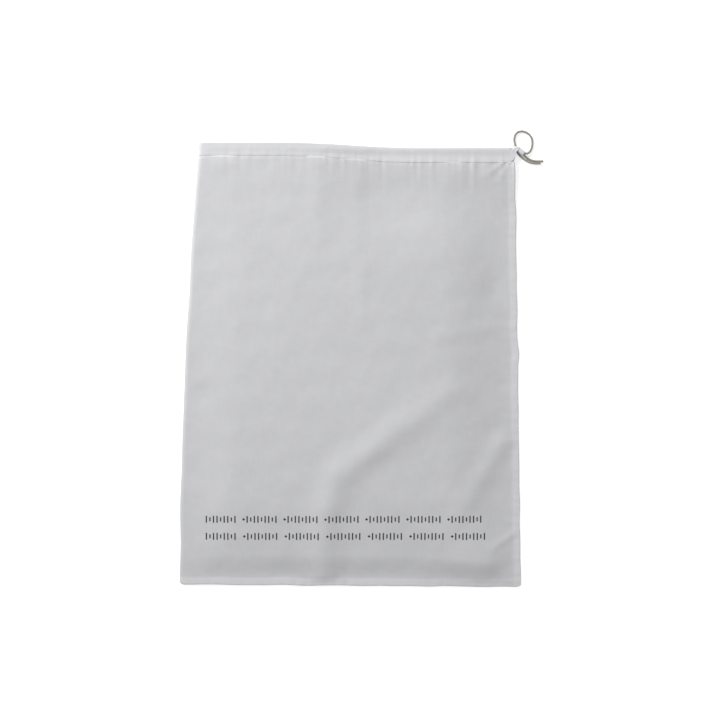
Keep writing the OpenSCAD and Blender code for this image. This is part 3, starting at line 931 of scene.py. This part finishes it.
def millimetres(tree, stretch=(1, 1, 1)):
    """The cloth's own coordinates in millimetres, each axis multiplied by stretch."""
    place = add(tree, "ShaderNodeAttribute", attribute_name="cloth_place")
    scaled = add(tree, "ShaderNodeVectorMath", [
        (0, place.outputs["Vector"]), (1, tuple(1000 * s for s in stretch)),
    ], operation="MULTIPLY")
    return scaled.outputs[0]


def noise(tree, vector, scale, detail=2.0):
    """Noise between about -0.5 and 0.5."""
    texture = add(tree, "ShaderNodeTexNoise", [
        ("Vector", vector), ("Scale", scale), ("Detail", detail),
    ])
    return maths(tree, "SUBTRACT", texture.outputs[0], 0.5)


def weave_height(tree, thread):
    """A plain weave: a chequer of small humps where one thread lies over the other."""
    axes = add(tree, "ShaderNodeSeparateXYZ", [("Vector", millimetres(tree))])
    bend = noise(tree, millimetres(tree), 0.6)
    warp = maths(tree, "MULTIPLY_ADD", axes.outputs[0], math.pi / thread)
    weft = maths(tree, "MULTIPLY_ADD", axes.outputs[1], math.pi / thread)
    for socket in (warp, weft):
        tree.links.new(maths(tree, "MULTIPLY", bend, 1.6), socket.node.inputs[2])
    humps = maths(tree, "MULTIPLY", maths(tree, "SINE", warp), maths(tree, "SINE", weft))
    return humps


def slubs(tree):
    """Thick and thin places along single threads, in both directions."""
    upright = noise(tree, millimetres(tree, (1.6, 0.05, 1)), 1.0, 3.0)
    level = noise(tree, millimetres(tree, (0.05, 1.6, 1)), 1.0, 3.0)
    return maths(tree, "ADD", upright, level)


def two_tone(tree, dark, light, share):
    return add(tree, "ShaderNodeMix", [
        (0, share), (6, (*dark, 1)), (7, (*light, 1)),
    ], data_type="RGBA", clamp_factor=True).outputs[2]


def bump(tree, shader, height, strength, distance):
    node = add(tree, "ShaderNodeBump", [
        ("Strength", strength), ("Distance", distance), ("Height", height),
    ])
    tree.links.new(node.outputs[0], shader.inputs["Normal"])


def cotton(name, dark, light, plies=True):
    """White cotton in a plain weave, brighter where more plies lie behind the surface. The plies
    attribute also carries painted shade, and the weave's dips are painted a little darker as shade.
    """
    material, tree, shader = new_material(name, 0.92, sheen=0.15, specular=0.15)
    weave = weave_height(tree, WEAVE_MM)
    threads = slubs(tree)
    one_ply, plies_and_painted_shade_weight = 0.26, 0.62
    mottle = noise(tree, millimetres(tree), 0.09, 4.0)
    cloud = noise(tree, millimetres(tree), 0.018, 2.0)
    # painted shade: the weave's dips a little darker than its humps
    share = maths(tree, "MULTIPLY_ADD", weave, 0.06)
    share.node.inputs[2].default_value = one_ply
    for part, weight in ((threads, 0.23), (mottle, 0.18), (cloud, 0.11)):
        share = maths(tree, "ADD", share, maths(tree, "MULTIPLY", part, weight))
    # the plies attribute: whiter where more plies lie, plus painted shade along the hem's upper
    # edge, in the outlet's gathers and towards the bottom-right corner
    if plies:
        extra = add(tree, "ShaderNodeAttribute", attribute_name="plies").outputs["Fac"]
        share = maths(tree, "ADD", share, maths(tree, "MULTIPLY", extra, plies_and_painted_shade_weight))
    tree.links.new(two_tone(tree, dark, light, share), shader.inputs["Base Color"])
    fuzz = noise(tree, millimetres(tree), 3.0, 3.0)
    height = maths(tree, "ADD", maths(tree, "MULTIPLY", weave, 0.5), threads)
    height = maths(tree, "ADD", height, maths(tree, "MULTIPLY", fuzz, 0.6))
    bump(tree, shader, height, 0.30, 0.00022)
    return material


def ink():
    """Dark screen ink that lets the weave show through and thins on the humps."""
    material, tree, shader = new_material("printed_ink", 0.75, specular=0.25)
    weave = weave_height(tree, WEAVE_MM)
    worn = noise(tree, millimetres(tree), 1.1, 3.0)
    share = maths(tree, "ADD", maths(tree, "MULTIPLY", weave, 0.15), worn)
    share = maths(tree, "ADD", share, 0.30)
    colour = two_tone(tree, (0.020, 0.020, 0.023), (0.075, 0.075, 0.082), share)
    tree.links.new(colour, shader.inputs["Base Color"])
    bump(tree, shader, maths(tree, "ADD", weave, worn), 0.35, 0.00015)
    return material


def object_millimetres(tree, stretch=(1, 1, 1)):
    place = add(tree, "ShaderNodeTexCoord").outputs["Object"]
    scaled = add(tree, "ShaderNodeVectorMath", [
        (0, place), (1, tuple(1000 * s for s in stretch)),
    ], operation="MULTIPLY")
    return scaled.outputs[0]


def sewing_thread():
    """Bright white thread with the fine diagonal of its twist, bumped and with painted shade in its
    grooves.
    """
    material, tree, shader = new_material("sewing_thread", 0.6, sheen=0.2, specular=0.35)
    twist = add(tree, "ShaderNodeTexWave", [
        ("Vector", object_millimetres(tree, (1, 1.4, 1))), ("Scale", 1.1), ("Distortion", 0.4),
    ], bands_direction="DIAGONAL")
    spots = noise(tree, object_millimetres(tree), 1.5)
    # painted shade: darker in the grooves of the twist, with random spots
    share = maths(tree, "ADD", maths(tree, "MULTIPLY", twist.outputs[1], 0.6), spots)
    colour = two_tone(tree, (0.43, 0.43, 0.44), (0.56, 0.56, 0.575), share)
    tree.links.new(colour, shader.inputs["Base Color"])
    bump(tree, shader, twist.outputs[1], 0.4, 0.00010)
    return material


def cord_cotton():
    """Unbleached cord: pale strands, painted shade darkening the valleys between them, and fine
    fibres.
    """
    material, tree, shader = new_material("cord_cotton", 0.88, sheen=0.2, specular=0.2)
    painted_valley_shade = add(tree, "ShaderNodeAttribute", attribute_name="painted_valley_shade").outputs["Fac"]
    fibres = noise(tree, millimetres(tree, (0.5, 4, 1)), 1.2, 4.0)
    spots = noise(tree, millimetres(tree), 0.12, 2.0)
    # painted shade: the colour darkens in the valleys between the strands
    share = maths(tree, "SUBTRACT", 0.72, maths(tree, "MULTIPLY", painted_valley_shade, 0.55))
    for part, weight in ((fibres, 0.5), (spots, 0.5)):
        share = maths(tree, "ADD", share, maths(tree, "MULTIPLY", part, weight))
    colour = two_tone(tree, (0.115, 0.106, 0.090), (0.37, 0.352, 0.322), share)
    tree.links.new(colour, shader.inputs["Base Color"])
    bump(tree, shader, fibres, 0.5, 0.00020)
    return material


def sleeve_plastic():
    """Satin white plastic with faint moulding marks and scuffs that dull it here and there."""
    material, tree, shader = new_material("sleeve_plastic", 0.38)
    scuffs = noise(tree, object_millimetres(tree), 0.7, 5.0)
    grain = noise(tree, object_millimetres(tree), 4.0, 2.0)
    share = maths(tree, "ADD", scuffs, 0.6)
    colour = two_tone(tree, (0.50, 0.50, 0.52), (0.62, 0.62, 0.65), share)
    tree.links.new(colour, shader.inputs["Base Color"])
    rough = maths(tree, "ADD", maths(tree, "MULTIPLY", scuffs, 0.25), 0.38)
    tree.links.new(rough, shader.inputs["Roughness"])
    bump(tree, shader, grain, 0.15, 0.00008)
    return material


def floor_paper():
    """A bright white sweep, evenly lit from within like a light table."""
    material, tree, shader = new_material("floor_paper", 0.9, specular=0.1)
    shade = noise(tree, object_millimetres(tree), 0.01, 2.0)
    colour = two_tone(tree, (0.90, 0.90, 0.90), (0.93, 0.93, 0.93), maths(tree, "ADD", shade, 0.5))
    tree.links.new(colour, shader.inputs["Base Color"])
    shader.inputs["Emission Color"].default_value = (1, 1, 1, 1)
    shader.inputs["Emission Strength"].default_value = 0.35
    return material


# ---- camera, light and floor ----
VIEW_W = 0.842
VIEW_CENTRE = (0.0114, 0.0061)
VIEW_Z = 0.006
FLOOR_HALF = 3.0
FLOOR_Z = -0.0002


def make_camera():
    """Straight above the bag; the frame is 842 mm wide where the bag lies."""
    camera = bpy.data.cameras.new("camera")
    camera.lens = 85
    camera.sensor_width = 36
    camera.clip_end = 20
    holder = bpy.data.objects.new("camera", camera)
    reach = VIEW_W * camera.lens / camera.sensor_width
    holder.location = (*VIEW_CENTRE, VIEW_Z + reach)
    bpy.context.scene.collection.objects.link(holder)
    bpy.context.scene.camera = holder


def make_area(name, place, target, size, power):
    """A square area light at place that points at target."""
    light = bpy.data.lights.new(name, "AREA")
    light.size = size
    light.energy = power
    holder = bpy.data.objects.new(name, light)
    holder.location = place
    aim = bpy.data.objects.new(name + "_aim", None)
    aim.location = target
    bpy.context.scene.collection.objects.link(aim)
    holder.rotation_mode = "QUATERNION"
    direction = aim.location - holder.location
    holder.rotation_quaternion = direction.to_track_quat("-Z", "Y")
    bpy.context.scene.collection.objects.link(holder)
    bpy.data.objects.remove(aim)


def make_world():
    world = bpy.data.worlds.new("studio")
    world.use_nodes = True
    background = world.node_tree.nodes["Background"]
    background.inputs["Color"].default_value = (1.0, 1.0, 1.0, 1)
    background.inputs["Strength"].default_value = 0.55
    bpy.context.scene.world = world


def make_floor():
    half = FLOOR_HALF
    corners = [(-half, -half, FLOOR_Z), (half, -half, FLOOR_Z),
               (half, half, FLOOR_Z), (-half, half, FLOOR_Z)]
    floor = mesh_object("floor", corners, [(0, 1, 2, 3)], smooth=False)
    finish_piece(floor, floor_paper())
    return floor


# ---- putting it together ----
def finish_piece(piece, material):
    piece.data.materials.clear()
    piece.data.materials.append(material)


def gather(piece):
    """Bakes the piece's transform into its mesh."""
    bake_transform(piece)


def cloth_piece(piece, material, slot, *nodes):
    finish_piece(piece, material)
    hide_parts(*nodes)
    gather(piece)
    return piece


def cord_piece(piece, material, slot, *nodes):
    finish_piece(piece, material)
    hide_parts(*nodes)
    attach(piece, "drawcord")
    return piece


make_camera()

cord_material = cord_cotton()
ROUTE_STEPS = 8
front_line = smooth_route(FRONT_ROUTE, ROUTE_STEPS)
back_line = smooth_route(BACK_ROUTE, ROUTE_STEPS)
front_split = FRONT_LEAD_POINTS * ROUTE_STEPS
back_split = BACK_LEAD_POINTS * ROUTE_STEPS
inner_cords = [
    ("cord_run_front", front_run_line(), "cord_front_run"),
    ("cord_run_back", back_run_line(), "cord_back_run"),
    ("cord_turn_at_fold", far_turn_line(), "cord_far_turn"),
    ("cord_lead_front", front_line[:front_split + 1], "cord_front_lead"),
    ("cord_lead_back", back_line[:back_split + 1], "cord_back_lead"),
]
for cord_name, cord_line, cord_node in inner_cords:
    inner_piece, _ = make_cord(cord_name, cord_line)
    cord_piece(inner_piece, cord_material, "cord", cord_node)
sleeve = cord_piece(make_sleeve(), sleeve_plastic(), "sleeve", "cord_sleeve")
loop, loop_line = make_cord("cord_loop", front_line[front_split:], frayed=True)
cord_piece(loop, cord_material, "cord", "cord_loop_strand")
tail, tail_line = make_cord("cord_tail", back_line[back_split:], frayed=True)
cord_piece(tail, cord_material, "cord", "cord_tail_strand")

floor = make_floor()
cotton_cloth = cotton("cotton_cloth", (0.395, 0.396, 0.405), (0.580, 0.581, 0.594))
cotton_lining = cotton("cotton_raw_edge", (0.37, 0.37, 0.38), (0.48, 0.48, 0.49), plies=False)
thread = sewing_thread()
bag = cloth_piece(make_bag_cloth(), cotton_cloth, "cloth", "back_panel", "front_panel")
hem = cloth_piece(make_mouth_hem(), cotton_cloth, "cloth", "front_hem", "back_hem", "hem_fold_end")
outlet = cloth_piece(make_outlet(), cotton_cloth, "cloth", "cord_outlet")
side = side_edge()
base = base_edge()
side_allowance = cloth_piece(
    make_allowance("side_allowance", side, np.array([-1.0, 0, 0]), 31),
    cotton_lining, "cloth", "side_seam_allowance")
base_allowance = cloth_piece(
    make_allowance("base_allowance", base, np.array([0, 1.0, 0]), 33),
    cotton_lining, "cloth", "bottom_seam_allowance")
cloth_piece(make_hem_stitches("hem_stitches_front", False), thread, "thread",
            "front_hem_stitching")
cloth_piece(make_hem_stitches("hem_stitches_back", True), thread, "thread",
            "back_hem_stitching")
cloth_piece(make_seam_stitches("side_seam_stitches", side, np.array([-1.0, 0, 0]), math.pi / 2),
            thread, "thread", "side_seam_stitching")
cloth_piece(make_seam_stitches("base_seam_stitches", base, np.array([0, 1.0, 0]), 0.0),
            thread, "thread", "bottom_seam_stitching")
cloth_piece(make_print(), ink(), "ink", "printed_rows")

make_world()
make_area("key", (-1.12, 1.44, 1.06), (0, 0, 0), 0.5, 54)
make_area("fill", (0.9, -0.6, 1.6), (0, 0, 0), 1.2, 6)
bpy.context.scene.view_settings.view_transform = "Standard"
